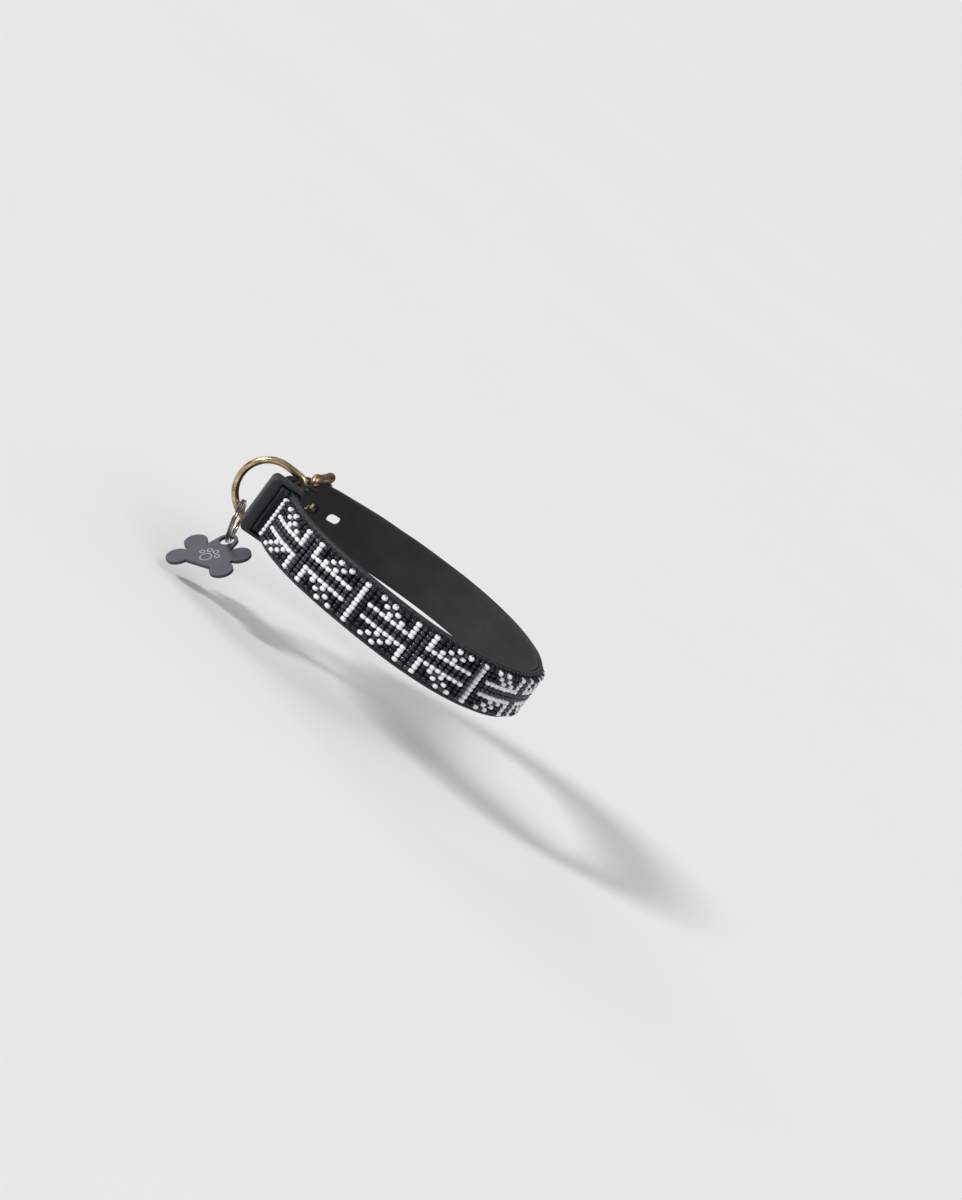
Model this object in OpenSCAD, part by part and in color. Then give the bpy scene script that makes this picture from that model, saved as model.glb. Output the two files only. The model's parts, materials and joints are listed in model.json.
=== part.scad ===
// Flat leather dog collar, buckled: sewn bead panel, roller buckle with tongue, keeper loop,
// D-ring at the nape, split ring and bone-shaped tag. Loop axis +Z towards the head side,
// nape at -X, throat at +X. Arc length q runs along the strap's outer face from the nape
// towards -Y; h is the distance outside that face.

/* [Loop] */
// Mean radius of the strap's outer face, mm
loop_radius = 67.04; // [50:0.01:90]
// Ovalness: extra radius at nape and throat, mm
loop_oval = 2.59; // [0:0.01:8]
// Egg shape: shift of the fullest part towards the throat side, mm
loop_egg = 0.87; // [-3:0.01:3]
// Squareness of the four quarters, mm
loop_square = 0.8; // [0:0.01:3]

/* [Strap] */
// Strap width, mm
strap_width = 25; // [15:0.5:40]
// Outer leather thickness, mm
leather = 2.0; // [1:0.1:3.5]
// Lining leather thickness, mm
lining = 1.4; // [0.8:0.1:3]
// Distance of the tail's tip past the nape, mm
tail_past_nape = 21.4; // [10:0.5:40]
// Spacing of the tail's holes, mm
hole_pitch = 15; // [10:0.5:25]

/* [Bead panel] */
// Start of the bead panel past the nape, mm
panel_start = 28.4; // [10:0.1:60]
// Number of strands across the strap
strands = 106; // [22:1:127]
// Distance between strands, mm
strand_pitch = 3.045; // [2:0.005:4]
// Distance between beads along a strand, mm
bead_pitch = 2.0; // [1.5:0.01:3]
// Diameter of a white bead, mm
bead_d_white = 3.0; // [2:0.05:3.2]
// Diameter of a dark bead, mm
bead_d_dark = 2.8; // [2:0.05:3.2]
// Bore of a bead, mm
bead_bore = 1.1; // [0.6:0.05:1.6]

/* [Hardware] */
// Place of the D-ring's bar, mm from the nape
d_ring_q = -4; // [-8:0.5:4]
// D-ring wire diameter, mm
d_wire = 3.4; // [2.5:0.1:5]
// D-ring inner width, mm
d_inner = 27; // [22:0.5:34]
// D-ring height of the straight legs, mm
d_leg = 10.2; // [2:0.1:14]
// Place of the buckle's heel bar, mm from the nape
heel_q = -19; // [-30:0.5:-14]
// Distance between heel bar and front bar, mm
buckle_reach = 25; // [18:0.5:32]
// Buckle bar diameter, mm
bar_d = 3.6; // [2.5:0.1:5]
// Place of the keeper loop's middle, mm from the nape
keeper_q = 16; // [8:0.5:20]
// Keeper loop width, mm
keeper_width = 10; // [6:0.5:14]
// Thickness of the keeper's doubled outer side, mm
keeper_thick = 4.6; // [1.5:0.1:5]
// Split ring outer diameter, mm
split_d = 21; // [14:0.5:30]
// Tag thickness, mm
tag_thick = 1.5; // [1:0.1:3]
// Distance between the tag's lobes along its length, mm
tag_lobes_x = 25.4; // [14:0.5:34]
// Distance between the tag's lobes across it, mm
tag_lobes_y = 12.7; // [8:0.1:18]
// Radius of the tag's lobes, mm
tag_lobe_r = 5.4; // [3:0.1:8]

/* [Hidden] */
$fn = 40;
W = strap_width;
T = leather + lining;
// loop curve: table of arc length against angle
function rr(a) = loop_radius + 0.326 * cos(a) + loop_oval * cos(2 * a) - loop_egg * cos(3 * a) - loop_square * cos(4 * a) + 0.5 * cos(5 * a);
function pp(a) = [rr(a) * cos(a), rr(a) * sin(a)];
NA = 480;
table = [for (i = 0, s = 0; i <= NA; s = s + norm(pp(-180 + (i + 1) * 360 / NA) - pp(-180 + i * 360 / NA)), i = i + 1) [s, -180 + i * 360 / NA]];
total = table[NA][0];
function wrap(q) = q < 0 ? q + total : (q > total ? q - total : q);
function ang(q) = lookup(wrap(q), table);
function tang(q) = let (a = ang(q), d = pp(a + 0.4) - pp(a - 0.4)) d / norm(d);
function at(q, h = 0) = let (t = tang(q)) pp(ang(q)) + h * [t[1], -t[0]];
function smooth(x) = x <= 0 ? 0 : x >= 1 ? 1 : x * x * (3 - 2 * x);
function bump(x, w) = abs(x) >= w ? 0 : 0.5 + 0.5 * cos(180 * x / w);
// place children: local +X along the strap, local -Y outward, +Z towards the head side
module on(q, h = 0, z = 0) { p = at(q, h); t = tang(q); translate([p[0], p[1], z]) rotate([0, 0, atan2(t[1], t[0])]) children(); }
// frame from three unit vectors and a point
module frame(o, x, y, z) { multmatrix([[x[0], y[0], z[0], o[0]], [x[1], y[1], z[1], o[1]], [x[2], y[2], z[2], o[2]], [0, 0, 0, 1]]) children(); }
function unit(v) = v / norm(v);

// pocket between base strap and turn-back, wide at the two bars
gap_bar = bar_d + 0.2;
gap_d = d_wire + 0.2;
function pocket(q) = max(gap_bar * (q < heel_q ? 1 : bump(q - heel_q, 8)), gap_d * bump(q - d_ring_q, 7.4));
bar_h = -leather - gap_bar / 2;
dbar_h = -leather - gap_d / 2;
// the strap's middle line (outer leather), as [q, h], along its whole run
turn_end = 24;
fold_r = (gap_bar + leather) / 2;
turn = [for (q = [turn_end:-1:heel_q]) [q, -1.5 * leather - 0.02 - pocket(q)]];
fold = [for (a = [-80:10:80]) at(heel_q, bar_h + fold_r * sin(a)) - fold_r * cos(a) * tang(heel_q)];
base = [for (q = [heel_q:1:panel_start]) [q, -leather / 2]];
round_q = [for (q = [panel_start + 1:2.5:total - 66]) [q, -leather / 2]];
tail_h = lining + leather / 2 + 0.12;
// the tail rises off the strap by this much on its way into the keeper
tail_rise = 0.9;
function tail_mid(q) = -leather / 2 + (tail_h + leather / 2) * smooth((q + 64) / 39) + tail_rise * smooth((q + 13) / 14);
tail_a = [for (q = [-64:1:tail_past_nape]) [q, tail_mid(q)]];
function xy(l) = [for (p = l) at(p[0] < -total / 2 ? p[0] + total : p[0], p[1])];
function side(pts, d) = [for (i = [0:len(pts) - 1]) let (a = pts[max(i - 1, 0)], b = pts[min(i + 1, len(pts) - 1)], t = unit(b - a)) pts[i] + d * [t[1], -t[0]]];
function back(l) = [for (i = [len(l) - 1:-1:0]) l[i]];
module ribbon(pts, d0, d1, w) { translate([0, 0, -w / 2]) linear_extrude(w) polygon(concat(side(pts, d0), back(side(pts, d1)))); }
main_mid = concat(xy(turn), fold, xy(concat(base, round_q, tail_a)));
lining_mid = xy(concat([for (q = [turn_end + 0.6:2.5:total - 66]) [q, -leather / 2]], [for (q = [-64:1:tail_past_nape - 0.5]) [q, tail_mid(q)]]));
tail_holes = [for (k = [-2:2]) heel_q - 4.1 + k * hole_pitch];
// oval hole through the strap, long way along it
module oval(q, h0, h1, l, w) { on(q, (h0 + h1) / 2) rotate([90, 0, 0]) translate([0, 0, -(h1 - h0) / 2]) { for (s = [-1, 1]) translate([s * (l - w) / 2, 0, 0]) cylinder(d = w, h = h1 - h0); translate([-(l - w) / 2, -w / 2, 0]) cube([l - w, w, h1 - h0]); } }
// takes the two corners off the tail's end
module tip() { on(tail_past_nape, tail_mid(tail_past_nape)) for (s = [-1, 1]) rotate([90, 0, 0]) translate([0, 0, -5]) linear_extrude(10) polygon([[0.5, s * (W / 2 - 3)], [0.5, s * 20], [-4, s * 20], [-3, s * (W / 2 + 0.01)], [-1.5, s * (W / 2 - 0.6)], [-0.5, s * (W / 2 - 1.6)]]); }

// bead chart of one repeat, one string per strand from head side to body side
chart = ["WWWWWWWWWW", "..........", "...WggW...", "W..WggW..W", "gW.WggW.Wg", "WgWWggWWgW", ".WgWggWgW.", "..WWggWW..", "...WggW...", "WWWWggWWWW",
    "gggggggggg", "gggggggggg", "WWWWggWWWW", "...WggW...", "..WWggWW..", ".WgWggWgW.", "WgWWggWWgW", "gW.WggW.Wg", "W..WggW..W", "...WggW...", "gggggggggg"];
function strand_q(c) = panel_start + c * strand_pitch;

// buckle: heel bar and front bar, with the frame's plane through both
heel = at(heel_q, bar_h);
roller_r = 2.6;
front_h = tail_mid(heel_q - buckle_reach + 1) + leather / 2 + roller_r + 0.25;
front = at(heel_q - buckle_reach + 1, front_h);
bdir = unit(front - heel);
reach = norm(front - heel);
side_z = W / 2 + 2.9;

// D-ring: bar in the pocket, plane standing out along the normal
dt = tang(d_ring_q);
dn = [dt[1], -dt[0]];
dbar = at(d_ring_q, dbar_h);
dr = (d_inner + d_wire) / 2;
hook_a = 68.8;
dc = [dbar[0] + dn[0] * d_leg, dbar[1] + dn[1] * d_leg, 0];
hook = [dc[0] + dn[0] * dr * cos(hook_a), dc[1] + dn[1] * dr * cos(hook_a), -dr * sin(hook_a)];
// split ring: centre on the hanging direction, plane turned about it
hang = unit([0.245, -0.34, -0.908]);
split_r = split_d / 2 - 0.9;
split_in = split_d / 2 - 1.8;
split_c = hook + hang * 4.84;
split_n0 = [0.965, -0.0045, 0.262];
split_n = unit(split_n0 - (split_n0 * hang) * hang);
split_t = cross(split_n, hang);
// tag: hole on the split ring's wire, long side x, down y, face z
tag_hole_d = 7;
tag_o = split_c + hang * (split_r + 0.25);
tag_z = unit([-0.6036, -0.4248, 0.6747]);
tag_y0 = [-0.1602, -0.7643, -0.6246];
tag_y = unit(tag_y0 - (tag_y0 * tag_z) * tag_z);
tag_x = cross(tag_y, tag_z);

module pipe(l, d) { cylinder(d = d, h = l); }
// quarter bend of round wire: from +X to +Y about Z
module bend(r, d, a) { rotate_extrude(angle = a) translate([r, 0]) circle(d = d); }

module strap() { color([0.03, 0.03, 0.035]) difference() { ribbon(main_mid, -leather / 2, leather / 2, W); tip(); for (q = tail_holes) oval(q, q > -20 ? 0.06 : -3, 6, 8.6, 4.6);
    // slot round the heel bar for the tongue
    on(heel_q, bar_h) translate([-7, -3.98, -2.6]) cube([11, 8.2, 5.2]); } }
module strap_lining() { color([0.05, 0.045, 0.045]) difference() { ribbon(lining_mid, -leather / 2 - lining, -leather / 2 - 0.03, W - 0.4); tip(); for (q = tail_holes) oval(q, q > -20 ? 0.06 : -3, 6, 8.6, 4.6);
 } }
// corner arc of radius r about p, from angle a
function arc(p, r, a) = [for (k = [0:15:90]) p + r * [cos(a + k), sin(a + k)]];
keeper_top = tail_mid(keeper_q) + leather / 2 + 0.5;
keeper_low = 2 * leather + 0.75;
keeper_band = 1.5;
module keeper_loop() { color([0.03, 0.03, 0.035]) on(keeper_q, 0) rotate([90, 0, 90]) translate([0, 0, -keeper_width / 2]) linear_extrude(keeper_width)
    let (x0 = -keeper_top - keeper_thick, x1 = keeper_low + keeper_band, y = W / 2 + 0.3 + keeper_band) difference() {
    polygon(concat(arc([x1 - 1.5, y - 1.5], 1.5, 0), arc([x0 + 2.6, y - 2.6], 2.6, 90), arc([x0 + 2.6, -y + 2.6], 2.6, 180), arc([x1 - 1.5, -y + 1.5], 1.5, 270)));
    translate([-keeper_top, -W / 2 - 0.3]) square([keeper_top + keeper_low, W + 0.6]); } }
// one row of stitches standing 0.35 above a face: q range, height above, z
module stitches(q0, q1, step, h, z, len) { for (q = [q0:step:q1]) on(q, h, z) rotate([0, 90, 0]) translate([0, 0, -len / 2]) cylinder(d = 0.7, h = len); }
module edge_stitching_head() { color([0.09, 0.09, 0.1]) stitches(panel_start - 0.2, total - 70, 3.4, 0.36, W / 2 - 1.05, 2.7); }
module edge_stitching_body() { color([0.09, 0.09, 0.1]) stitches(panel_start - 0.2, total - 70, 3.4, 0.36, -W / 2 + 1.05, 2.7); }
// two seams across the strap that hold the turn-back, on either side of the D-ring
module turnback_stitching() { color([0.09, 0.09, 0.1]) for (q = [(heel_q + d_ring_q) / 2 + 0.4, 4.7]) for (z = [-9.45:2.7:9.5]) on(q, -2 * leather - 0.46, z) translate([0, 0, -1.1]) cylinder(d = 0.7, h = 2.2); }
module keeper_stitching() { color([0.09, 0.09, 0.1]) for (x = [-3.3:2.2:3.4]) for (z = [-2, 2]) on(keeper_q, -keeper_low - keeper_band - 0.37, z) translate([x - 0.8, 0, 0]) rotate([0, 90, 0]) cylinder(d = 0.7, h = 1.6); }
module tail_stitching() { color([0.09, 0.09, 0.1]) for (z = [-W / 2 + 1.6, W / 2 - 1.6]) for (q = [-60:3.4:8]) if (abs(q - keeper_q) > keeper_width / 2 + 4.6 && (q < -48 || q > -38)) on(q, tail_mid(q) + leather / 2 + 0.54, z) rotate([0, 90, 0]) translate([0, 0, -1.35]) cylinder(d = 0.7, h = 2.7); }
module bead(d) { rotate_extrude() translate([bead_bore / 2, -bead_pitch / 2 + 0.03]) square([(d - bead_bore) / 2, bead_pitch - 0.06]); }
module beads(kind, d) { for (c = [0:strands - 1]) for (r = [0:9]) if (chart[c % 21][r] == kind) {
    e = r == 0 ? 1 : r == 9 ? -1 : 0;
    on(strand_q(c), bead_d_white / 2 + 0.03 + (e != 0 ? 0.1 : 0), (4.5 - r) * bead_pitch + e * 0.26) rotate([e * 8, 0, 0]) bead(d); } }
module beads_white() { color([0.93, 0.93, 0.9]) beads("W", bead_d_white); }
module beads_gunmetal() { color([0.2, 0.23, 0.28]) beads("g", bead_d_dark); }
module beads_black() { color([0.02, 0.02, 0.03]) beads(".", bead_d_dark); }
module bead_threads() { color([0.05, 0.05, 0.06]) for (c = [0:strands - 1]) on(strand_q(c), bead_d_white / 2 + 0.03, 0) cylinder(d = 0.5, h = 8 * bead_pitch - 0.2, center = true); }
module buckle_frame() { color([0.66, 0.5, 0.25]) frame([heel[0], heel[1], 0], [bdir[0], bdir[1], 0], [-bdir[1], bdir[0], 0], [0, 0, 1]) {
    translate([0, 0, -side_z]) cylinder(d = bar_d, h = 2 * side_z);
    translate([reach, 0, -side_z]) cylinder(d = 2.8, h = 2 * side_z);
    // rounded side bars, thickest at the front corners
    for (s = [-1, 1]) translate([0, 0, s * side_z]) { rotate([0, 90, 0]) cylinder(d = 4.4, h = reach); sphere(d = 4.4); translate([reach, 0, 0]) sphere(d = 5); } } }
module buckle_roller() { color([0.7, 0.54, 0.28]) frame([front[0], front[1], 0], [1, 0, 0], [0, 1, 0], [0, 0, 1]) difference() { cylinder(r = roller_r, h = 2 * side_z - 5.6, center = true); cylinder(r = 1.45, h = 60, center = true); } }
module buckle_tongue() { color([0.7, 0.54, 0.28]) frame([heel[0], heel[1], 0], [bdir[0], bdir[1], 0], [-bdir[1], bdir[0], 0], [0, 0, 1]) {
    difference() { union() { cylinder(r = bar_d / 2 + 1.6, h = 3.6, center = true);
        translate([0, 0, -1.6]) linear_extrude(3.2) polygon([[1.2, 0.4], [1.6, 2.2], [3.4, 7.4], [6.0, 8.9], [10, 8.3], [reach - 3, roller_r + 2.9], [reach + 2.6, roller_r + 2.5], [reach + 3.4, roller_r + 1.1], [reach + 2.2, roller_r + 0.15], [reach - 3, roller_r + 0.15], [14, 4.1], [10, 5.5], [8, 6.3], [6.0, 5.4], [4.6, 1.8], [3.2, -0.6]]); }
      cylinder(r = bar_d / 2 + 0.05, h = 10, center = true); } } }
module d_ring() { color([0.72, 0.56, 0.28]) frame([dbar[0], dbar[1], 0], [dn[0], dn[1], 0], [-dn[1], dn[0], 0], [0, 0, 1]) {
    translate([0, 0, -dr + 3]) cylinder(d = d_wire, h = 2 * dr - 6);
    for (s = [-1, 1]) translate([3, 0, s * (dr - 3)]) rotate([90, 0, 0]) rotate([0, 0, s > 0 ? 90 : 180]) bend(3, d_wire, 90);
    for (s = [-1, 1]) translate([3, 0, s * dr]) rotate([0, 90, 0]) cylinder(d = d_wire, h = d_leg - 3);
    translate([d_leg, 0, 0]) rotate([90, 0, 0]) rotate([0, 0, -90]) bend(dr, d_wire, 180); } }
module split_ring() { color([0.3, 0.3, 0.32]) frame(split_c, hang, split_t, split_n) difference() {
    rotate_extrude() { translate([split_in, -1.05]) square([1.8, 1]); translate([split_in + 0.15, -0.1]) square([1.5, 0.2]); translate([split_in, 0.05]) square([1.8, 1]); }
    // where each coil ends
    rotate([0, 0, 100]) translate([split_in - 1, -0.5, 0.1]) cube([4, 0.5, 2]);
    rotate([0, 0, 125]) translate([split_in - 1, -0.5, -2.1]) cube([4, 0.5, 2]); } }
module id_tag() { color([0.24, 0.25, 0.29]) frame(tag_o, tag_x, tag_y, tag_z) translate([0, 0, -tag_thick / 2]) difference() {
    union() { translate([0, 13, 0]) { for (i = [-1, 1]) for (j = [-1, 1]) translate([i * tag_lobes_x / 2, j * tag_lobes_y / 2, 0]) cylinder(r = tag_lobe_r, h = tag_thick);
            translate([-tag_lobes_x / 2, -tag_lobes_y / 2 - 1.2, 0]) cube([tag_lobes_x, tag_lobes_y + 2.4, tag_thick]); }
        // tab with the hole
        cylinder(r = 5, h = tag_thick); linear_extrude(tag_thick) polygon([[-4.95, -0.6], [4.95, -0.6], [6.6, 6.5], [-6.6, 6.5]]); }
    translate([0, 0, -1]) cylinder(d = tag_hole_d, h = 5);
    // paw print
    translate([0, 0, tag_thick - 0.25]) { translate([0, 14.8, 0]) cylinder(r = 2.9, h = 1); for (k = [-1, 1]) { translate([k * 4.3, 12.1, 0]) cylinder(r = 1.35, h = 1); translate([k * 1.7, 9.7, 0]) cylinder(r = 1.45, h = 1); } } } }

strap();
strap_lining();
keeper_loop();
edge_stitching_head();
edge_stitching_body();
turnback_stitching();
tail_stitching();
keeper_stitching();
beads_white();
beads_gunmetal();
beads_black();
bead_threads();
buckle_frame();
buckle_roller();
buckle_tongue();
d_ring();
split_ring();
id_tag();
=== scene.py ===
# Looks for the beaded leather collar. Everything is in metres in the CAD frame; helper sizes are in mm.
import json
import math

import bmesh
import bpy
import numpy as np
from mathutils import Matrix, Vector

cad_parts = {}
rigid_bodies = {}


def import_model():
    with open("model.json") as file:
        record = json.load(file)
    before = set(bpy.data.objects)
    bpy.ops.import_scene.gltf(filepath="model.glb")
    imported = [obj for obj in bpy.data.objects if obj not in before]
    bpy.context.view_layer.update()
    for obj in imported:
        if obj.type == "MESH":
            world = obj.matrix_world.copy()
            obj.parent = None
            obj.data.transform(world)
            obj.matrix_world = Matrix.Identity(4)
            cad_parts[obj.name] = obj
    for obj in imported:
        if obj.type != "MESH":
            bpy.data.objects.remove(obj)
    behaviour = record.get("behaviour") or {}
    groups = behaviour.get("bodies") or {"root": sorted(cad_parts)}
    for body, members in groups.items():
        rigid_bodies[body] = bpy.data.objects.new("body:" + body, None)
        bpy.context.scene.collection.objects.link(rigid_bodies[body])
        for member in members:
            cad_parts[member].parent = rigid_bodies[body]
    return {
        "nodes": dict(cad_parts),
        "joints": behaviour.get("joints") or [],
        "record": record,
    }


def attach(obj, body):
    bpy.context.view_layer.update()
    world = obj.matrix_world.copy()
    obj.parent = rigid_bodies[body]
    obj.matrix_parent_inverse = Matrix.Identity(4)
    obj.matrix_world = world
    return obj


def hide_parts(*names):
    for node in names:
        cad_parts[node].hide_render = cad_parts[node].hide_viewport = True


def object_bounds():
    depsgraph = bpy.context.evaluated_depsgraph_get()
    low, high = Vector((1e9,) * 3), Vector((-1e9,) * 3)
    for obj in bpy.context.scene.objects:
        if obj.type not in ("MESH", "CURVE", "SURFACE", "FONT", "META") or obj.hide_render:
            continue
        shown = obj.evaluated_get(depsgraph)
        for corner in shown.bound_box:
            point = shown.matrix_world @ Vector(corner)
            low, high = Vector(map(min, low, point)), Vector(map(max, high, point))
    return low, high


for o in list(bpy.data.objects):
    bpy.data.objects.remove(o)
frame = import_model()
cad_lo, cad_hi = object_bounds()
nodes, record = frame["nodes"], frame["record"]
joints = {j["name"]: j for j in frame["joints"]}
rng = np.random.default_rng(7)
MM = 0.001

# ---------------------------------------------------------------- loop curve, as in the CAD
W, LEATHER, LINING = 25.0, 2.0, 1.4
HEEL_Q, D_Q, KEEPER_Q = -19.0, -4.0, 16.0
TAIL, PANEL, PITCH, STRANDS, BEAD = 21.4, 28.4, 3.045, 106, 2.0


def rr(a):
    return (67.04 + 0.326 * np.cos(a) + 2.59 * np.cos(2 * a) - 0.87 * np.cos(3 * a)
            - 0.8 * np.cos(4 * a) + 0.5 * np.cos(5 * a))


_A = np.linspace(-np.pi, np.pi, 4801)
_P = np.stack([rr(_A) * np.cos(_A), rr(_A) * np.sin(_A)], 1)
_S = np.r_[0, np.cumsum(np.hypot(*np.diff(_P, axis=0).T))]
TOTAL = _S[-1]


def place(q, h=0.0):
    """Points at arc length q and height h over the strap's outer face, with tangent and outward normal."""
    q, h = np.broadcast_arrays(np.asarray(q, float), np.asarray(h, float))
    a = np.interp(np.mod(q, TOTAL), _S, _A)
    e = 0.004
    d = np.stack([rr(a + e) * np.cos(a + e) - rr(a - e) * np.cos(a - e),
                  rr(a + e) * np.sin(a + e) - rr(a - e) * np.sin(a - e)], -1)
    t = d / np.linalg.norm(d, axis=-1, keepdims=True)
    n = np.stack([t[..., 1], -t[..., 0]], -1)
    p = np.stack([rr(a) * np.cos(a), rr(a) * np.sin(a)], -1) + h[..., None] * n
    return p, t, n


def smooth(x):
    x = np.clip(x, 0, 1)
    return x * x * (3 - 2 * x)


def bump(x, w):
    return np.where(np.abs(x) >= w, 0.0, 0.5 + 0.5 * np.cos(np.pi * x / w))


TAIL_H = LINING + LEATHER / 2 + 0.12


def tail_mid(q):
    q = np.asarray(q, float)
    return -LEATHER / 2 + (TAIL_H + LEATHER / 2) * smooth((q + 64) / 39) + 0.9 * smooth((q + 13) / 14)


def pocket(q):
    return np.maximum(3.8 * np.where(q < HEEL_Q, 1.0, bump(q - HEEL_Q, 8)), 3.6 * bump(q - D_Q, 7.4))


BAR_H = -LEATHER - 1.9

# ---------------------------------------------------------------- mesh helpers


def new_object(name, verts, faces, body, mat, smooth_shade=True):
    me = bpy.data.meshes.new(name)
    points = [tuple(v) for v in np.asarray(verts, float)]
    me.from_pydata(points, [], [tuple(int(i) for i in f) for f in faces])
    me.update()
    o = bpy.data.objects.new(name, me)
    bpy.context.scene.collection.objects.link(o)
    if smooth_shade:
        me.polygons.foreach_set("use_smooth", [True] * len(me.polygons))
    me.materials.append(mat)
    if body:
        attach(o, body)
    return o


def tube_faces(n_rings, n_side, closed_path=False, start=0, caps=True):
    i = np.arange(n_rings if closed_path else n_rings - 1)[:, None]
    j = np.arange(n_side)[None, :]
    a = (i % n_rings) * n_side + j
    b = (i % n_rings) * n_side + (j + 1) % n_side
    c = ((i + 1) % n_rings) * n_side + (j + 1) % n_side
    d = ((i + 1) % n_rings) * n_side + j
    f = (np.stack([a, b, c, d], -1).reshape(-1, 4) + start).tolist()
    if not closed_path and caps:
        f.append([start + k for k in range(n_side)][::-1])
        f.append([start + (n_rings - 1) * n_side + k for k in range(n_side)])
    return f


def resample(pts, step):
    pts = np.asarray(pts, float)
    s = np.r_[0, np.cumsum(np.linalg.norm(np.diff(pts, axis=0), axis=1))]
    n = max(2, int(round(s[-1] / step)) + 1)
    u = np.linspace(0, s[-1], n)
    return np.stack([np.interp(u, s, pts[:, k]) for k in range(pts.shape[1])], 1), u


def section(half_w, lo, hi, r, n_corner=5, n_across=12):
    """Rounded strip section as (normal offset, z) points."""
    pts = []
    r = min(r, (hi - lo) / 2 - 1e-3)
    cs = [(hi - r, half_w - r, 90, 0),
          (hi - r, -half_w + r, 0, -90),
          (lo + r, -half_w + r, -90, -180),
          (lo + r, half_w - r, 180, 90)]
    for k, (u, v, a0, a1) in enumerate(cs):
        for a in np.radians(np.linspace(a0, a1, n_corner)):
            pts.append((u + r * math.cos(a), v + r * math.sin(a)))
        nxt = cs[(k + 1) % 4]
        end = pts[-1]
        aa = math.radians(nxt[2])
        beg = (nxt[0] + r * math.cos(aa), nxt[1] + r * math.sin(aa))
        m = n_across if k in (0, 2) else 1
        for t in np.linspace(0, 1, m + 2)[1:-1]:
            z = end[1] + (beg[1] - end[1]) * t
            pts.append((end[0] + (beg[0] - end[0]) * t, z))
    return np.array(pts)


def ribbon(path, sec_of):
    """Sweeps sec_of(i) along a path in the loop plane; returns vertices in metres and faces."""
    t = np.gradient(path, axis=0)
    t /= np.linalg.norm(t, axis=1)[:, None]
    n = np.stack([t[:, 1], -t[:, 0]], 1)
    out = []
    for i in range(len(path)):
        sec = sec_of(i)
        xy = path[i] + sec[:, :1] * n[i]
        out.append(np.c_[xy, sec[:, 1]])
    return np.concatenate(out) * MM, tube_faces(len(path), len(out[0]))


def bake_modifiers(o):
    dg = bpy.context.evaluated_depsgraph_get()
    me = bpy.data.meshes.new_from_object(o.evaluated_get(dg))
    o.modifiers.clear()
    o.data = me


def cut(o, cutters):
    m = o.modifiers.new("cut", "BOOLEAN")
    m.operation, m.solver, m.object, m.use_self = "DIFFERENCE", "EXACT", cutters, True
    bpy.context.view_layer.update()
    bake_modifiers(o)


def auto_smooth(o, angle=40):
    bm = bmesh.new()
    bm.from_mesh(o.data)
    for f in bm.faces:
        f.smooth = True
    for e in bm.edges:
        if len(e.link_faces) == 2:
            e.smooth = e.calc_face_angle(0) < math.radians(angle)
    bm.to_mesh(o.data)
    bm.free()


def swirl(path, radii, n_side=16, up=None, flat=(1.0, 1.0)):
    """Round wire along a 3D path in mm with radius per point; flat scales the two section axes."""
    path = np.asarray(path, float)
    radii = np.broadcast_to(radii, len(path))
    t = np.gradient(path, axis=0)
    t /= np.linalg.norm(t, axis=1)[:, None]
    u = np.asarray(up if up is not None else [0, 0, 1.0], float)
    out = []
    a = np.linspace(0, 2 * np.pi, n_side, endpoint=False)
    for i in range(len(path)):
        x = u - t[i] * (u @ t[i])
        x /= np.linalg.norm(x)
        y = np.cross(t[i], x)
        if up is None:
            u = x
        out.append(path[i] + radii[i] * (flat[0] * np.cos(a)[:, None] * x + flat[1] * np.sin(a)[:, None] * y))
    return np.concatenate(out)


# ---------------------------------------------------------------- materials


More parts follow.
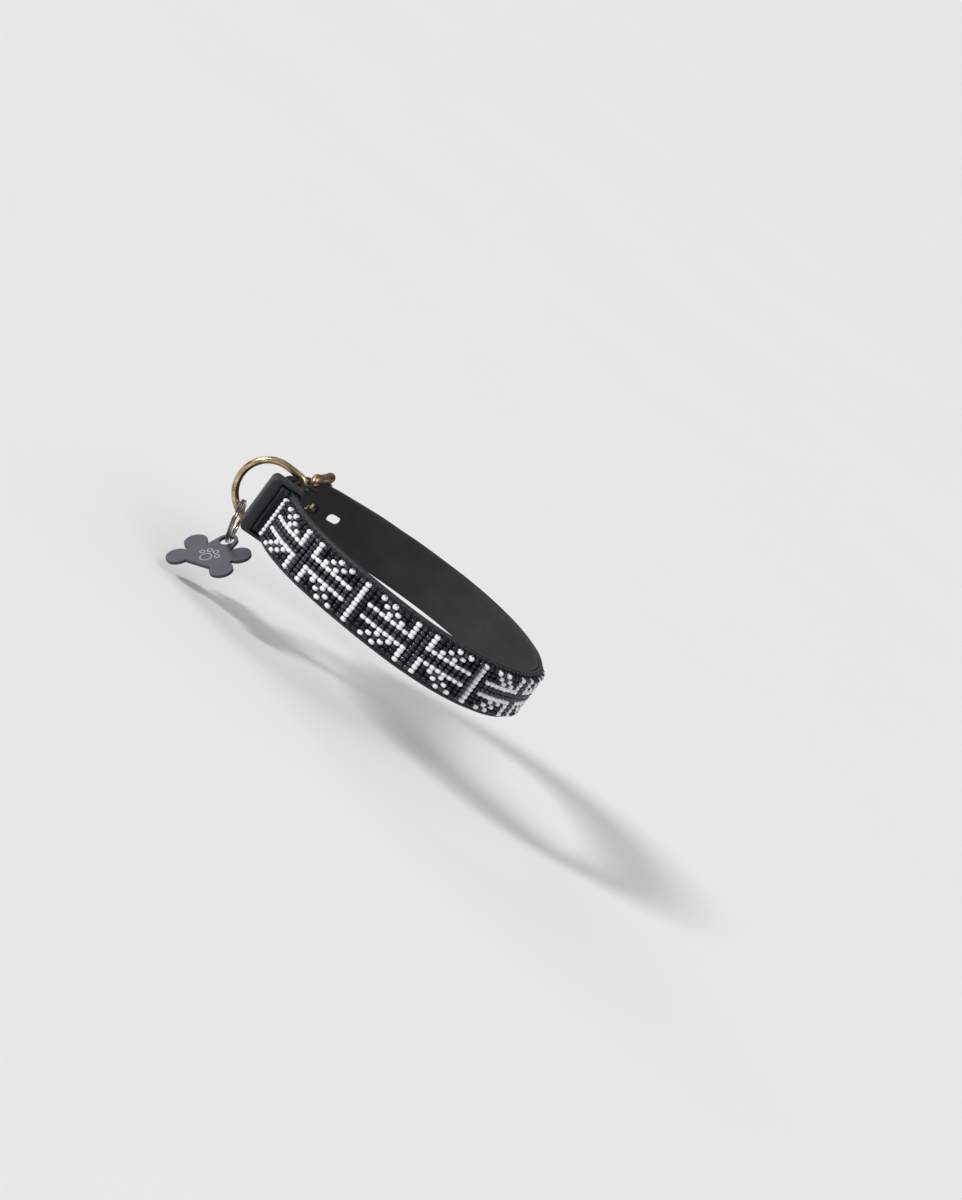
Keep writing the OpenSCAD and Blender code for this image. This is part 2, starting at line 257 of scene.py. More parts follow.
class Mat:
    def __init__(self, name, **base):
        self.m = bpy.data.materials.new(name)
        self.m.use_nodes = True
        self.nt = self.m.node_tree
        self.b = self.nt.nodes["Principled BSDF"]
        self.tc = self.node("ShaderNodeTexCoord")
        for k, v in base.items():
            self.b.inputs[k.replace("_", " ")].default_value = v

    def node(self, kind, **props):
        n = self.nt.nodes.new(kind)
        for k, v in props.items():
            setattr(n, k, v)
        return n

    def link(self, a, b):
        self.nt.links.new(a, b)

    def noise(self, scale, detail=4, rough=0.5, vec=None):
        n = self.node("ShaderNodeTexNoise")
        n.inputs["Scale"].default_value = scale
        n.inputs["Detail"].default_value = detail
        n.inputs["Roughness"].default_value = rough
        self.link(vec or self.tc.outputs["Object"], n.inputs["Vector"])
        return n.outputs["Fac"]

    def voronoi(self, scale, feature="F1", vec=None):
        n = self.node("ShaderNodeTexVoronoi", feature=feature)
        n.inputs["Scale"].default_value = scale
        self.link(vec or self.tc.outputs["Object"], n.inputs["Vector"])
        return n.outputs["Distance"]

    def ramp(self, fac, stops):
        n = self.node("ShaderNodeValToRGB")
        e = n.color_ramp.elements
        while len(e) > 1:
            e.remove(e[-1])
        for k, (p, c) in enumerate(stops):
            el = e[0] if k == 0 else e.new(p)
            el.position = p
            el.color = (*c, 1) if len(c) == 3 else c
        self.link(fac, n.inputs["Fac"])
        return n.outputs["Color"]

    def remap(self, fac, a, b, lo=0.0, hi=1.0):
        n = self.node("ShaderNodeMapRange")
        n.inputs["From Min"].default_value, n.inputs["From Max"].default_value = lo, hi
        n.inputs["To Min"].default_value, n.inputs["To Max"].default_value = a, b
        self.link(fac, n.inputs["Value"])
        return n.outputs["Result"]

    def math(self, op, a, b=None):
        n = self.node("ShaderNodeMath", operation=op)
        for k, v in enumerate((a, b)):
            if v is None:
                continue
            if isinstance(v, (int, float)):
                n.inputs[k].default_value = v
            else:
                self.link(v, n.inputs[k])
        return n.outputs[0]

    def mix(self, fac, a, b):
        n = self.node("ShaderNodeMix", data_type="RGBA")
        for s, v in (("A", a), ("B", b)):
            sock = [i for i in n.inputs if i.name == s and i.type == "RGBA"][0]
            if isinstance(v, tuple):
                sock.default_value = (*v, 1)
            else:
                self.link(v, sock)
        self.link(fac, n.inputs[0])
        return [x for x in n.outputs if x.type == "RGBA"][0]

    def bump(self, height, strength, distance, normal=None):
        n = self.node("ShaderNodeBump")
        n.inputs["Strength"].default_value = strength
        n.inputs["Distance"].default_value = distance
        self.link(height, n.inputs["Height"])
        if normal is not None:
            self.link(normal, n.inputs["Normal"])
        return n.outputs["Normal"]

    def out(self, color=None, rough=None, normal=None, metal=None):
        for name, v in (("Base Color", color), ("Roughness", rough), ("Normal", normal), ("Metallic", metal)):
            if v is not None:
                self.link(v, self.b.inputs[name])
        return self.m


def leather(name, dark, light, rough=(0.42, 0.62), grain=1500.0, edge=True):
    m = Mat(name)
    m.b.inputs["Specular IOR Level"].default_value = 0.45
    big = m.noise(90, 3)
    fine = m.noise(700, 5, 0.6)
    col = m.mix(m.remap(m.math("ADD", big, m.math("MULTIPLY", fine, 0.5)), 0, 1, 0.45, 1.05), dark, light)
    rg = m.remap(fine, rough[0], rough[1], 0.3, 0.7)
    cells = m.voronoi(grain, "SMOOTH_F1")
    cracks = m.voronoi(grain * 0.55, "DISTANCE_TO_EDGE")
    n1 = m.bump(m.remap(cracks, 0, 1, 0.0, 0.12), 0.35, 0.00012)
    n2 = m.bump(cells, 0.28, 0.00010, n1)
    n3 = m.bump(m.noise(160, 4), 0.35, 0.0006, n2)
    if edge:
        sep = m.node("ShaderNodeSeparateXYZ")
        m.link(m.tc.outputs["Object"], sep.inputs[0])
        e = m.remap(m.math("ABSOLUTE", sep.outputs["Z"]), 0, 1, 0.0119, 0.0124)
        col = m.mix(e, col, tuple(c * 1.25 for c in light))
        rg = m.math("ADD", rg, m.math("MULTIPLY", e, -0.12))
    return m.out(col, rg, n3)


mat_leather = leather("leather_black", (0.0030, 0.0048, 0.0070), (0.0075, 0.0112, 0.0155))
mat_keeper = leather("leather_keeper", (0.0045, 0.0062, 0.0076), (0.012, 0.0155, 0.018), edge=False)
mat_lining = leather("leather_lining", (0.008, 0.0082, 0.0085), (0.018, 0.018, 0.0185),
                     rough=(0.62, 0.8), grain=900.0)


def thread_material():
    m = Mat("thread_black")
    wave = m.node("ShaderNodeTexWave", wave_type="BANDS", bands_direction="DIAGONAL")
    wave.inputs["Scale"].default_value = 900
    wave.inputs["Distortion"].default_value = 1.5
    m.link(m.tc.outputs["Object"], wave.inputs["Vector"])
    col = m.ramp(wave.outputs["Fac"], [(0.0, (0.006, 0.006, 0.007)), (1.0, (0.035, 0.035, 0.038))])
    m.b.inputs["Sheen Weight"].default_value = 0.2
    return m.out(col, m.remap(wave.outputs["Fac"], 0.5, 0.7), m.bump(wave.outputs["Fac"], 0.6, 0.0001))


mat_thread = thread_material()


def bead_material(name, base, alt, rough, coat=0.0, spec=0.5):
    m = Mat(name)
    m.b.inputs["Specular IOR Level"].default_value = spec
    m.b.inputs["Coat Weight"].default_value = coat
    m.b.inputs["Coat Roughness"].default_value = 0.08
    at = m.node("ShaderNodeAttribute", attribute_name="bead_tone", attribute_type="GEOMETRY")
    streak = m.noise(1400, 3)
    f = m.math("ADD", m.math("MULTIPLY", at.outputs["Fac"], 0.8), m.math("MULTIPLY", streak, 0.25))
    col = m.mix(f, base, alt)
    rg = m.remap(m.noise(500, 3), rough[0], rough[1], 0.3, 0.7)
    return m.out(col, rg, m.bump(m.noise(700, 3), 0.12, 0.0002))


mat_white = bead_material("bead_white", (0.86, 0.88, 0.89), (0.70, 0.73, 0.75), (0.22, 0.36), coat=0.3)
mat_gun = bead_material("bead_gunmetal", (0.004, 0.007, 0.014), (0.016, 0.023, 0.040), (0.06, 0.13),
                        coat=0.3, spec=0.6)
mat_black = bead_material("bead_black", (0.002, 0.003, 0.0055), (0.006, 0.009, 0.015), (0.2, 0.34),
                          coat=0.1, spec=0.35)


def metal(name, bright, dark, rough, dark_lo=0.35, dark_hi=0.75, scratch=0.1):
    m = Mat(name, Metallic=1.0)
    patina = m.noise(170, 5, 0.6)
    fleck = m.noise(1100, 3)
    f = m.remap(m.math("ADD", patina, m.math("MULTIPLY", fleck, 0.35)), 0, 1, dark_lo + 0.17, dark_hi + 0.17)
    col = m.mix(f, bright, dark)
    rg = m.remap(f, rough[0], rough[1])
    wave = m.node("ShaderNodeTexWave", wave_type="BANDS", bands_direction="DIAGONAL")
    wave.inputs["Scale"].default_value = 400
    wave.inputs["Distortion"].default_value = 9
    wave.inputs["Detail"].default_value = 4
    m.link(m.tc.outputs["Object"], wave.inputs["Vector"])
    n = m.bump(wave.outputs["Fac"], scratch, 0.00005)
    return m.out(col, rg, m.bump(patina, 0.08, 0.0006, n))


mat_brass = metal("antique_brass", (0.74, 0.59, 0.33), (0.15, 0.10, 0.05), (0.15, 0.3))
mat_brass_dark = metal("antique_brass_dark", (0.52, 0.33, 0.17), (0.13, 0.075, 0.04), (0.24, 0.5), 0.3, 0.62)
mat_nickel = metal("dark_nickel", (0.40, 0.36, 0.33), (0.07, 0.06, 0.06), (0.14, 0.3), 0.4, 0.8)


def tag_material():
    m = Mat("tag_slate", Metallic=0.35)
    n1 = m.noise(260, 6, 0.65)
    wave = m.node("ShaderNodeTexWave", wave_type="BANDS", bands_direction="X")
    wave.inputs["Scale"].default_value = 260
    wave.inputs["Distortion"].default_value = 12
    wave.inputs["Detail"].default_value = 5
    m.link(m.tc.outputs["Object"], wave.inputs["Vector"])
    col = m.mix(n1, (0.030, 0.032, 0.044), (0.056, 0.060, 0.080))
    col = m.mix(m.math("MULTIPLY", wave.outputs["Fac"], 0.25), col, (0.085, 0.09, 0.115))
    return m.out(col, m.remap(n1, 0.38, 0.52, 0.3, 0.7), m.bump(wave.outputs["Fac"], 0.12, 0.00005))


mat_tag = tag_material()


def engraving_material():
    m = Mat("engraving_pale", Metallic=0.5)
    n1 = m.noise(2200, 4, 0.7)
    col = m.mix(n1, (0.26, 0.27, 0.30), (0.5, 0.51, 0.55))
    return m.out(col, m.remap(n1, 0.45, 0.65), m.bump(n1, 0.5, 0.00006))


mat_engraving = engraving_material()

# ---------------------------------------------------------------- strap and lining
turn_q = np.arange(24.0, HEEL_Q - 0.01, -0.5)
fold_a = np.radians(np.arange(-80, 81, 8))
base_q = np.arange(HEEL_Q, PANEL, 0.5)
round_q = np.arange(PANEL, TOTAL - 66, 1.0)
tail_q = np.arange(-66, TAIL + 0.01, 0.5)


def mid_path():
    fold, along, _ = place(HEEL_Q, BAR_H + 2.9 * np.sin(fold_a))
    parts = [place(turn_q, -1.5 * LEATHER - 0.02 - pocket(turn_q))[0],
             fold - 2.9 * np.cos(fold_a)[:, None] * along,
             place(base_q, np.full(len(base_q), -LEATHER / 2))[0],
             place(round_q, np.full(len(round_q), -LEATHER / 2))[0],
             place(tail_q, tail_mid(tail_q))[0]]
    return np.concatenate(parts)


def tip_half(dist, half):
    """Half width near the end, dist mm from it: square with rounded corners."""
    x = np.clip(dist / 2.6, 0.0, 1.0)
    return half - 2.6 * (1 - math.sqrt(max(0.0, 1 - (1 - x) ** 2)))


path, run = resample(mid_path(), 0.8)
strap_len = run[-1]
wob_at = np.arange(0, strap_len + 9, 9.0)
wob = np.interp(run, wob_at, rng.normal(0, 1, len(wob_at)))


def strap_section(i):
    half = tip_half(strap_len - run[i], W / 2)
    half += 0.05 * wob[i] if half > 12 else 0
    return section(half, -LEATHER / 2 + 0.02, LEATHER / 2 - 0.02, 0.75, 5, 12)


v, f = ribbon(path, strap_section)
strap = new_object("strap_leather", v, f, "collar", mat_leather)

lin_q1 = np.arange(24.6, TOTAL - 66, 1.0)
lin_q2 = np.arange(-66, TAIL - 0.4, 0.5)
lin = np.concatenate([place(lin_q1, np.full(len(lin_q1), -LEATHER / 2))[0],
                      place(lin_q2, tail_mid(lin_q2))[0]])
lin_path, lin_run = resample(lin, 1.0)


def lining_section(i):
    half = tip_half(lin_run[-1] - lin_run[i] + 0.4, W / 2 - 0.2)
    # the lining thickens under the tail's end, down to the strap below
    pack = 0.85 * float(smooth((lin_run[i] - lin_run[-1] + 16) / 5))
    return section(half, -LEATHER / 2 - LINING - pack, -LEATHER / 2 - 0.03, 0.5, 4, 8)


v, f = ribbon(lin_path, lining_section)
lining = new_object("strap_lining_leather", v, f, "collar", mat_lining)


def oval_prism(bm, q, h0, h1, l, w):
    p, t, n = place(q, (h0 + h1) / 2)
    ring = []
    for a in np.radians(np.arange(0, 360, 15)):
        x = math.cos(a) * w / 2 + math.copysign((l - w) / 2, math.cos(a) if abs(math.cos(a)) > 1e-9 else 1)
        z = math.sin(a) * w / 2
        ring.append((x, z))
    lo = [bm.verts.new(Vector((*(p + x * t - (h1 - h0) / 2 * n), z)) * MM) for x, z in ring]
    hi = [bm.verts.new(Vector((*(p + x * t + (h1 - h0) / 2 * n), z)) * MM) for x, z in ring]
    k = len(ring)
    bm.faces.new(lo)
    bm.faces.new(hi[::-1])
    for i in range(k):
        bm.faces.new((lo[i], hi[i], hi[(i + 1) % k], lo[(i + 1) % k]))


bm = bmesh.new()
for k in range(-2, 3):
    hq = HEEL_Q - 4.1 + 15 * k
    oval_prism(bm, hq, 0.06 if hq > -20 else -3.0, 6.0, 8.6, 4.6)
# slot for the tongue round the heel bar
p, t, n = place(HEEL_Q, BAR_H)
corner = [(x, y, z) for x in (-7, 4) for y in (-4.2, 3.98) for z in (-2.6, 2.6)]
vs = [bm.verts.new(Vector((*(p + x * t + y * n), z)) * MM) for x, y, z in corner]
for idx in ((0, 1, 3, 2), (4, 6, 7, 5), (0, 4, 5, 1), (2, 3, 7, 6), (0, 2, 6, 4), (1, 5, 7, 3)):
    bm.faces.new([vs[i] for i in idx])
bmesh.ops.recalc_face_normals(bm, faces=bm.faces)
me = bpy.data.meshes.new("cutter")
bm.to_mesh(me)
bm.free()
cutter = bpy.data.objects.new("cutter", me)
bpy.context.scene.collection.objects.link(cutter)
for o in (strap, lining):
    bm = bmesh.new()
    bm.from_mesh(o.data)
    bmesh.ops.recalc_face_normals(bm, faces=bm.faces)
    if bm.calc_volume(signed=True) < 0:
        bmesh.ops.reverse_faces(bm, faces=bm.faces)
    bm.to_mesh(o.data)
    bm.free()
    cut(o, cutter)
    auto_smooth(o, 50)
bpy.data.objects.remove(cutter)
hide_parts("strap")
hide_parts("strap_lining")

# ---------------------------------------------------------------- keeper loop
kp, kt, kn = place(KEEPER_Q, 0.0)


K_TOP = float(tail_mid(KEEPER_Q)) + LEATHER / 2 + 0.15
K_LOW, K_BAND, K_THICK = 2 * LEATHER + 0.75, 1.5, 4.6


def corner_loop(lo, hi, half, r_lo, r_hi, n=7):
    """Rounded rectangle in (h, z) with one radius at its low corners and one at its high corners."""
    pts = []
    for h, z, r, a0 in ((hi, half, r_hi, 90), (hi, -half, r_hi, 0),
                        (lo, -half, r_lo, -90), (lo, half, r_lo, -180)):
        c = np.array([h - math.copysign(r, h - (lo + hi) / 2), z - math.copysign(r, z)])
        for a in np.radians(np.linspace(a0, a0 - 90, n)):
            pts.append(c + r * np.array([math.cos(a), math.sin(a)]))
    return np.array(pts)


# the keeper: outer and inner outline with rounded rims and a pressed line along each rim
K_OUT = corner_loop(-K_LOW - K_BAND, K_TOP + 0.35 + K_THICK, W / 2 + 0.3 + K_BAND, 1.5, 2.6)
K_IN = corner_loop(-K_LOW, K_TOP, W / 2 + 0.2, 0.4, 0.4)
kdir = K_OUT - K_IN
kdir /= np.linalg.norm(kdir, axis=1)[:, None]
rings = []
# each ring: place along the strap, inset, and whether it is on the outer outline
KEEPER_RINGS = [(-4.2, 0.0, 1), (-4.75, 0.25, 1), (-5.0, 0.75, 1), (-5.0, 0.6, 0), (-4.7, 0.0, 0),
                (0, 0.0, 0), (4.7, 0.0, 0), (5.0, 0.6, 0), (5.0, 0.75, 1), (4.75, 0.25, 1),
                (4.2, 0.0, 1), (3.85, 0.0, 1), (3.6, 0.16, 1), (3.35, 0.0, 1), (0, 0.0, 1),
                (-3.35, 0.0, 1), (-3.6, 0.16, 1), (-3.85, 0.0, 1)]
for x, inset, which in KEEPER_RINGS:
    hz = K_OUT - inset * kdir if which else K_IN + inset * kdir
    rings.append(np.c_[kp + hz[:, :1] * kn + x * kt, hz[:, 1]])
v = np.concatenate(rings) * MM
n_r, n_c = len(rings), len(K_OUT)
f = tube_faces(n_r, n_c, closed_path=True)
keeper = new_object("keeper_leather", v, f, "keeper", mat_keeper)
bm = bmesh.new()
bm.from_mesh(keeper.data)
bmesh.ops.recalc_face_normals(bm, faces=bm.faces)
bm.to_mesh(keeper.data)
bm.free()
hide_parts("keeper_loop")

# ---------------------------------------------------------------- stitches


def capsule(length_mm, r, n_side=8, sag=0.0):
    """Stitch along local x: thread that dives at both ends."""
    x = np.linspace(-1, 1, 9)
    rad = r * np.sqrt(np.clip(1 - np.abs(x) ** 6, 0.02, 1))
    a = np.linspace(0, 2 * np.pi, n_side, endpoint=False)
    v = []
    for xi, ri in zip(x, rad):
        for aj in a:
            v.append((xi * length_mm / 2, ri * math.sin(aj), ri * math.cos(aj) - sag * xi ** 4))
    return np.array(v), tube_faces(9, n_side)


def stitch_object(name, spots, body, length_mm, r, cad):
    """spots: list of (point, direction along, outward)."""
    base, bf = capsule(length_mm, r, sag=0.35)
    V, F = [], []
    for p, d, u in spots:
        d, u = np.asarray(d, float), np.asarray(u, float)
        tilt = rng.normal(0, 0.05)
        s = np.cross(u, d)
        d2 = d * math.cos(tilt) + s * math.sin(tilt)
        s2 = np.cross(u, d2)
        M = np.stack([d2, s2, u], 1)
        F += [[i + len(V) * len(base) for i in face] for face in bf]
        V.append((base * (1 + rng.normal(0, 0.03))) @ M.T + p)
    o = new_object(name, np.concatenate(V) * MM, F, body, mat_thread)
    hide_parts(cad)
    return o


def spots_along(qs, h, z):
    out = []
    for q, hh in zip(qs, np.broadcast_to(h, len(qs))):
        p, t, n = place(q, hh)
        out.append((np.r_[p, z], np.r_[t, 0.0], np.r_[n, 0.0]))
    return out


sq = np.arange(PANEL - 0.2, TOTAL - 70 + 0.01, 3.4)
for side, edge in (("head", 1), ("body", -1)):
    stitch_object("stitch_edge_" + side, spots_along(sq, 0.2, edge * (W / 2 - 1.05)), "collar", 2.9, 0.33,
                  "edge_stitching_" + side)
spots = []
for q in ((HEEL_Q + D_Q) / 2 + 0.4, 4.7):
    for z in np.arange(-9.45, 9.5, 2.7):
        p, t, n = place(q, -2 * LEATHER - 0.2)
        spots.append((np.r_[p, z], np.array([0, 0, 1.0]), np.r_[-n, 0.0]))
stitch_object("stitch_turnback", spots, "collar", 2.3, 0.33, "turnback_stitching")
tq = np.array([q for q in np.arange(-60, 8.01, 3.4) if abs(q - KEEPER_Q) > 9.6 and (q < -48 or q > -38)])
spots = sum((spots_along(tq, tail_mid(tq) + LEATHER / 2 + 0.15, z) for z in (-W / 2 + 1.6, W / 2 - 1.6)), [])
stitch_object("stitch_tail", spots, "collar", 2.9, 0.33, "tail_stitching")
spots = []
for x in (-3.3, -1.1, 1.1, 3.3):
    for z in (-2.0, 2.0):
        p, t, n = place(KEEPER_Q, -K_LOW - K_BAND - 0.15)
        spots.append((np.r_[p + x * t, z], np.r_[t, 0.0], np.r_[-n, 0.0]))
stitch_object("stitch_keeper", spots, "keeper", 1.7, 0.33, "keeper_stitching")

# ---------------------------------------------------------------- beads
# one string per strand: W white, g gunmetal, . black; the pattern repeats every 21 strands
CHART = ["WWWWWWWWWW", "..........", "...WggW...", "W..WggW..W", "gW.WggW.Wg",
         "WgWWggWWgW", ".WgWggWgW.", "..WWggWW..", "...WggW...", "WWWWggWWWW"]
CHART = CHART + ["gggggggggg", "gggggggggg", "WWWWggWWWW"] + CHART[8:1:-1] + ["gggggggggg"]


def bead_mesh(d, length_mm, bore=1.0, n_side=14):
    """Seed bead: a short tube with a full, rounded wall."""
    ro, ri, hl = d / 2, bore / 2, length_mm / 2
    prof = []
    for a in np.radians([-78, -58, -36, -12, 12, 36, 58, 78]):
        along = hl * math.sin(a) / math.sin(math.radians(78)) * 0.97
        prof.append((ro - 0.8 + 0.8 * math.cos(a) ** 0.75, along))
    prof += [(ri + 0.3, hl), (ri + 0.02, hl * 0.84), (ri, 0.0), (ri + 0.02, -hl * 0.84), (ri + 0.3, -hl)]
    prof = np.array(prof)
    a = np.linspace(0, 2 * np.pi, n_side, endpoint=False)
    v = np.stack([np.outer(np.cos(a), prof[:, 0]), np.outer(np.sin(a), prof[:, 0]),
                  np.tile(prof[:, 1], (n_side, 1))], -1).reshape(-1, 3)
    return v, tube_faces(n_side, len(prof), closed_path=True)


def bead_frames():
    """Every bead as (kind, centre, 3x3 axes, tone)."""
    out = []
    wave_at = np.arange(0, STRANDS + 6, 6)
    wave = np.interp(np.arange(STRANDS), wave_at, rng.normal(0, 1, len(wave_at)))
    for c in range(STRANDS):
        q = PANEL + c * PITCH
        lean = rng.normal(0, 0.12)
        shift = rng.normal(0, 0.06) + 0.08 * wave[c]
        for r in range(10):
            e = 1 if r == 0 else -1 if r == 9 else 0
            z = (4.5 - r) * BEAD + e * 0.24 + shift + rng.normal(0, 0.03)
            h = 1.5 + (0.1 if e else 0.0) + rng.normal(0, 0.05)
            dq = lean * (r - 4.5) / 4.5 + rng.normal(0, 0.06)
            p, t, n = place(q + dq, h)
            X, Y, Z = np.r_[t, 0.0], np.r_[n, 0.0], np.array([0, 0, 1.0])
            ang = math.radians(rng.normal(0, 3.5)) + (math.radians(11 + rng.normal(0, 5)) * e if e else 0)
            yaw = math.radians(rng.normal(0, 3.5))
            ax = Z * math.cos(ang) + Y * math.sin(ang) + X * math.sin(yaw)
            ax /= np.linalg.norm(ax)
            x = X - ax * (X @ ax)
            x /= np.linalg.norm(x)
            y = np.cross(ax, x)
            out.append((CHART[c % 21][r], np.r_[p, z], np.stack([x, y, ax], 1), rng.random()))
    return out


beads = bead_frames()
BEAD_SETS = [("W", "beads_white_glass", 2.98, 1.88, mat_white, "beads_white", "white_bead"),
             ("g", "beads_gunmetal_glass", 2.72, 1.8, mat_gun, "beads_gunmetal", "gunmetal_bead"),
             (".", "beads_black_glass", 2.72, 1.8, mat_black, "beads_black", "black_bead")]
for kind, name, d, bead_length, mat, cad, slot in BEAD_SETS:
    base, bf = bead_mesh(d, bead_length)
    bf = np.array(bf)
    mine = [b for b in beads if b[0] == kind]
    V, F, T = [], [], []
    for k, (_, p, M, tone) in enumerate(mine):
        s = np.array([1 + rng.normal(0, 0.012)] * 2 + [1 + rng.normal(0, 0.02)])
        V.append((base * s) @ M.T + p)
        F.append(bf + k * len(base))
        T.append(np.full(len(base), tone))
    o = new_object(name, np.concatenate(V) * MM, np.concatenate(F), "collar", mat)
    at = o.data.attributes.new("bead_tone", "FLOAT", "POINT")
    at.data.foreach_set("value", np.concatenate(T).astype(np.float32))
    bm = bmesh.new()
    bm.from_mesh(o.data)
    bmesh.ops.recalc_face_normals(bm, faces=bm.faces)
    bm.to_mesh(o.data)
    bm.free()
    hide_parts(cad)

# threads: through each strand and down into the leather at both ends
V, F, cnt = [], [], 0
for c in range(STRANDS):
    q = PANEL + c * PITCH
    p, t, n = place(q, 0.0)
    pts = []
    for z, h in ((-10.75, -0.1), (-10.7, 0.7), (-10.4, 1.5), (-9.6, 1.6), (0, 1.5),
                 (9.6, 1.6), (10.4, 1.5), (10.7, 0.7), (10.75, -0.1)):
        pts.append(np.r_[p + h * n, z])
    v = swirl(np.array(pts), 0.2, 6, up=np.r_[t, 0.0])
    V.append(v)
    F += tube_faces(len(pts), 6, start=cnt)
    cnt += len(v)
threads = new_object("bead_thread_lines", np.concatenate(V) * MM, F, "collar", mat_thread)
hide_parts("bead_threads")

# ---------------------------------------------------------------- hardware


def mm_joint(name):
    j = joints[name]
    return np.array(j["pos_m"]) * 1000, np.array(j["axis"], float)


def set_material(node, mat, bevel=0.0):
    o = nodes[node]
    o.data.materials.clear()
    o.data.materials.append(mat)
    if bevel:
        b = o.modifiers.new("round", "BEVEL")
        b.width, b.segments, b.limit_method, b.angle_limit = bevel * MM, 3, "ANGLE", math.radians(35)
        b.harden_normals = False
    o.data.polygons.foreach_set("use_smooth", [True] * len(o.data.polygons))
    return o


# buckle frame: a rounded cast rectangle, thick at its corners
heel, _ = mm_joint("tongue_lift")
front, _ = mm_joint("roller_spin")
bd = (front - heel) / np.linalg.norm(front - heel)
bn = np.array([-bd[1], bd[0], 0.0])
reach = np.linalg.norm(front - heel)
SIDE = W / 2 + 2.9


def bar_path():
    pts = []
    r = 2.6
    corners = [(0, SIDE), (0, -SIDE), (reach, -SIDE), (reach, SIDE)]
    k = len(corners)
    for i in range(k):
        a, b, c = (np.array(corners[(i + m) % k], float) for m in (-1, 0, 1))
        u, w = (a - b) / np.linalg.norm(a - b), (c - b) / np.linalg.norm(c - b)
        for s in np.linspace(0, 1, 7):
            pts.append(b + u * r * (1 - s) ** 2 + w * r * s ** 2)
    pts = np.array(pts + [pts[0]])
    return resample(pts, 0.7)[0][:-1]


bp = bar_path()
rad = []
for x, z in bp:
    if abs(z) > SIDE - 0.9:
        bar_r = 2.1 + 0.45 * smooth((x - reach + 9) / 9) + 0.75 * (1 - smooth((x - 1) / 5))
    elif x > reach / 2:
        bar_r = 1.35 + 1.1 * smooth((abs(z) - SIDE + 2.2) / 1.6)
    else:
        bar_r = 1.75
    rad.append(bar_r)
rad = np.convolve(np.r_[rad[-2:], rad, rad[:2]], np.ones(5) / 5, "valid")
P3 = heel + bp[:, :1] * bd + np.array([0, 0, 1.0]) * bp[:, 1:]
tt = np.roll(P3, -1, 0) - np.roll(P3, 1, 0)
tt /= np.linalg.norm(tt, axis=1)[:, None]
V = []
aa = np.linspace(0, 2 * np.pi, 20, endpoint=False)
for i in range(len(P3)):
    s = np.cross(tt[i], bn)
    V.append(P3[i] + rad[i] * (np.cos(aa)[:, None] * bn * 0.96 + np.sin(aa)[:, None] * s))
buckle = new_object("buckle_frame_cast", np.concatenate(V) * MM, tube_faces(len(P3), 20, closed_path=True),
                    "buckle", mat_brass_dark)
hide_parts("buckle_frame")

set_material("buckle_roller", mat_brass)
set_material("buckle_tongue", mat_brass, bevel=0.5)
set_material("d_ring", mat_brass)

# split ring: flat wire wound twice
tag_pivot, ring_t = mm_joint("tag_swing")
hook, hook_t = mm_joint("split_ring_swing")
ring_t = ring_t / np.linalg.norm(ring_t)
HANG = (tag_pivot - hook) / np.linalg.norm(tag_pivot - hook)
RMID = 10.5 - 0.9
ring_c = tag_pivot - HANG * RMID
ring_n = np.cross(HANG, ring_t)
ring_n /= np.linalg.norm(ring_n)
turns = np.linspace(0, 2 * 2 * np.pi, 220)
COIL = 0.53
off = np.interp(turns, [0, 2 * np.pi - 0.55, 2 * np.pi + 0.1, 4 * np.pi], [-COIL, -COIL, COIL, COIL])
a0 = math.radians(112)
round_the_ring = np.cos(turns + a0)[:, None] * HANG + np.sin(turns + a0)[:, None] * ring_t
cen = ring_c + RMID * round_the_ring + off[:, None] * ring_n
V = []
sec = np.array([(0.88 * math.copysign(abs(math.cos(a)) ** 0.55, math.cos(a)),
                 0.47 * math.copysign(abs(math.sin(a)) ** 0.55, math.sin(a)))
                for a in np.linspace(0, 2 * np.pi, 16, endpoint=False)])
for i in range(len(cen)):
    rad_dir = (cen[i] - ring_c) - ring_n * ((cen[i] - ring_c) @ ring_n)
    rad_dir /= np.linalg.norm(rad_dir)
    k = min(1.0, 0.55 + 0.12 * min(i, len(cen) - 1 - i))
    V.append(cen[i] + k * (sec[:, :1] * rad_dir + sec[:, 1:] * ring_n))
split = new_object("split_ring_coil", np.concatenate(V) * MM, tube_faces(len(cen), 16),
                   "tag_ring", mat_nickel)
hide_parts("split_ring")

# tag: bevelled plate from the CAD node, with a pale paw print in its engraving
set_material("id_tag", mat_tag, bevel=0.28)
TAG_O = ring_c + HANG * 9.85
TAG_Z = np.array([-0.6036, -0.4248, 0.6747])
TAG_Z /= np.linalg.norm(TAG_Z)
TAG_Y = np.array([-0.1602, -0.7643, -0.6246])
TAG_Y -= (TAG_Y @ TAG_Z) * TAG_Z
TAG_Y /= np.linalg.norm(TAG_Y)
TAG_X = np.cross(TAG_Y, TAG_Z)


# pads of the paw print: place on the tag and radius
PADS = [(0, 14.8, 2.9), (4.3, 12.1, 1.35), (-4.3, 12.1, 1.35), (1.7, 9.7, 1.45), (-1.7, 9.7, 1.45)]


def paw_lines(inset, width, top):
    """Raised outline inside each pad of the engraving."""
    V, F = [], []
    for cx, cy, r in PADS:
        a = np.linspace(0, 2 * np.pi, 40, endpoint=False)
        ring = []
        r_out, r_in = r - inset, r - inset - width
        for line_r, z in ((r_out, 0.5), (r_out, top), (r_in, top), (r_in, 0.5)):
            w = line_r * (1 + 0.012 * np.sin(3 * a + cx))
            ring.append(np.stack([cx + w * np.cos(a), cy + w * np.sin(a), np.full(40, z)], 1))
        pts = np.stack(ring, 1).reshape(-1, 3)
        F += [[i + sum(len(x) for x in V) for i in face] for face in tube_faces(40, 4, closed_path=True)]
        V.append(pts)
    P = np.concatenate(V)
    return TAG_O + P[:, :1] * TAG_X + P[:, 1:2] * TAG_Y + P[:, 2:] * TAG_Z, F


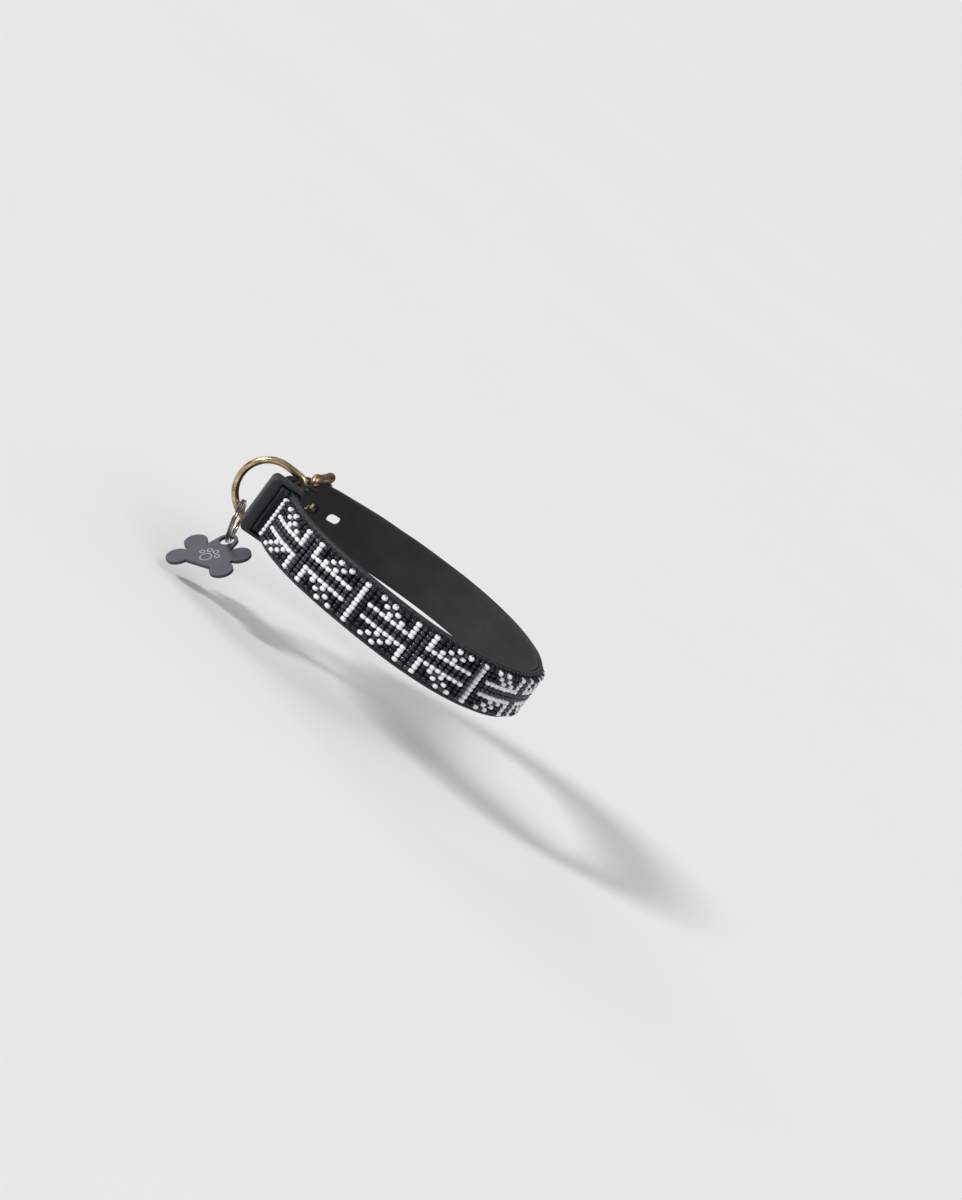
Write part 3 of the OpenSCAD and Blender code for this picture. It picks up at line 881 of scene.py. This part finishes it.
v, f = paw_lines(0.03, 0.5, 0.76)
paw = new_object("tag_engraving", v * MM, f, "tag", mat_engraving, smooth_shade=False)
bm = bmesh.new()
bm.from_mesh(paw.data)
bmesh.ops.recalc_face_normals(bm, faces=bm.faces)
bm.to_mesh(paw.data)
bm.free()

# ---------------------------------------------------------------- stage
floor_z = cad_lo.z - 0.004
bm = bmesh.new()
bmesh.ops.create_grid(bm, x_segments=2, y_segments=2, size=30)
me = bpy.data.meshes.new("floor")
bm.to_mesh(me)
bm.free()
floor = bpy.data.objects.new("floor", me)
floor.location = (0, 0, floor_z)
bpy.context.scene.collection.objects.link(floor)
fm = Mat("floor_pale")
fm.b.inputs["Roughness"].default_value = 0.9
fm.b.inputs["Specular IOR Level"].default_value = 0.1
fm.out(fm.mix(fm.noise(3, 2), (0.86, 0.86, 0.865), (0.88, 0.88, 0.885)))
me.materials.append(fm.m)

# camera at the photograph's viewing angle, rolled as the photograph is
az, el, roll = math.radians(0.80), math.radians(11.44), math.radians(37.08)
right0 = Vector((math.cos(az), math.sin(az), 0))
up0 = Vector((-math.sin(az) * math.sin(el), math.cos(az) * math.sin(el), math.cos(el)))
back = Vector((math.sin(az) * math.cos(el), -math.cos(az) * math.cos(el), math.sin(el)))
R = right0 * math.cos(roll) + up0 * math.sin(roll)
U = -right0 * math.sin(roll) + up0 * math.cos(roll)
cam_data = bpy.data.cameras.new("camera")
cam_data.lens, cam_data.sensor_width = 127.5, 36.0
cam = bpy.data.objects.new("camera", cam_data)
bpy.context.scene.collection.objects.link(cam)
cam_place = R * 0.03516 - U * 0.00095 + back * 1.8828
cam.matrix_world = Matrix.Translation(cam_place) @ Matrix((R, U, back)).transposed().to_4x4()
cam_data.clip_end = 100
bpy.context.scene.camera = cam


def sun(name, towards, power, spread):
    d = bpy.data.lights.new(name, "SUN")
    d.energy, d.angle = power, math.radians(spread)
    o = bpy.data.objects.new(name, d)
    o.rotation_mode = "QUATERNION"
    o.rotation_quaternion = (-Vector(towards)).to_track_quat("-Z", "Y")
    bpy.context.scene.collection.objects.link(o)
    return o


# soft key from the upper left of the picture, a wide fill from the camera side and a little from behind
sun("key", -R * 0.55 + U * 0.9 + back * 0.75, 2.4, 9)
sun("fill", R * 0.7 + U * 0.25 + back * 0.9, 0.8, 40)
sun("rim", -R * 0.3 + U * 0.8 - back * 0.4, 0.5, 30)
world = bpy.data.worlds.new("studio")
bpy.context.scene.world = world
world.use_nodes = True
wn, wl = world.node_tree.nodes, world.node_tree.links
wc, ws, wr = wn.new("ShaderNodeTexCoord"), wn.new("ShaderNodeSeparateXYZ"), wn.new("ShaderNodeValToRGB")
for k, (p, g) in enumerate(((0.0, 0.55), (0.42, 0.30), (0.56, 0.22), (0.72, 0.95), (1.0, 1.0))):
    el = wr.color_ramp.elements[k] if k < 2 else wr.color_ramp.elements.new(p)
    el.position, el.color = p, (g, g, g * 1.01, 1)
wm = wn.new("ShaderNodeMapRange")
wm.inputs["From Min"].default_value = -1.0
wl.new(wc.outputs["Generated"], ws.inputs[0])
wl.new(ws.outputs["Z"], wm.inputs["Value"])
wl.new(wm.outputs["Result"], wr.inputs["Fac"])
wl.new(wr.outputs["Color"], wn["Background"].inputs["Color"])
wn["Background"].inputs["Strength"].default_value = 0.42
bpy.context.scene.view_settings.view_transform = "Standard"
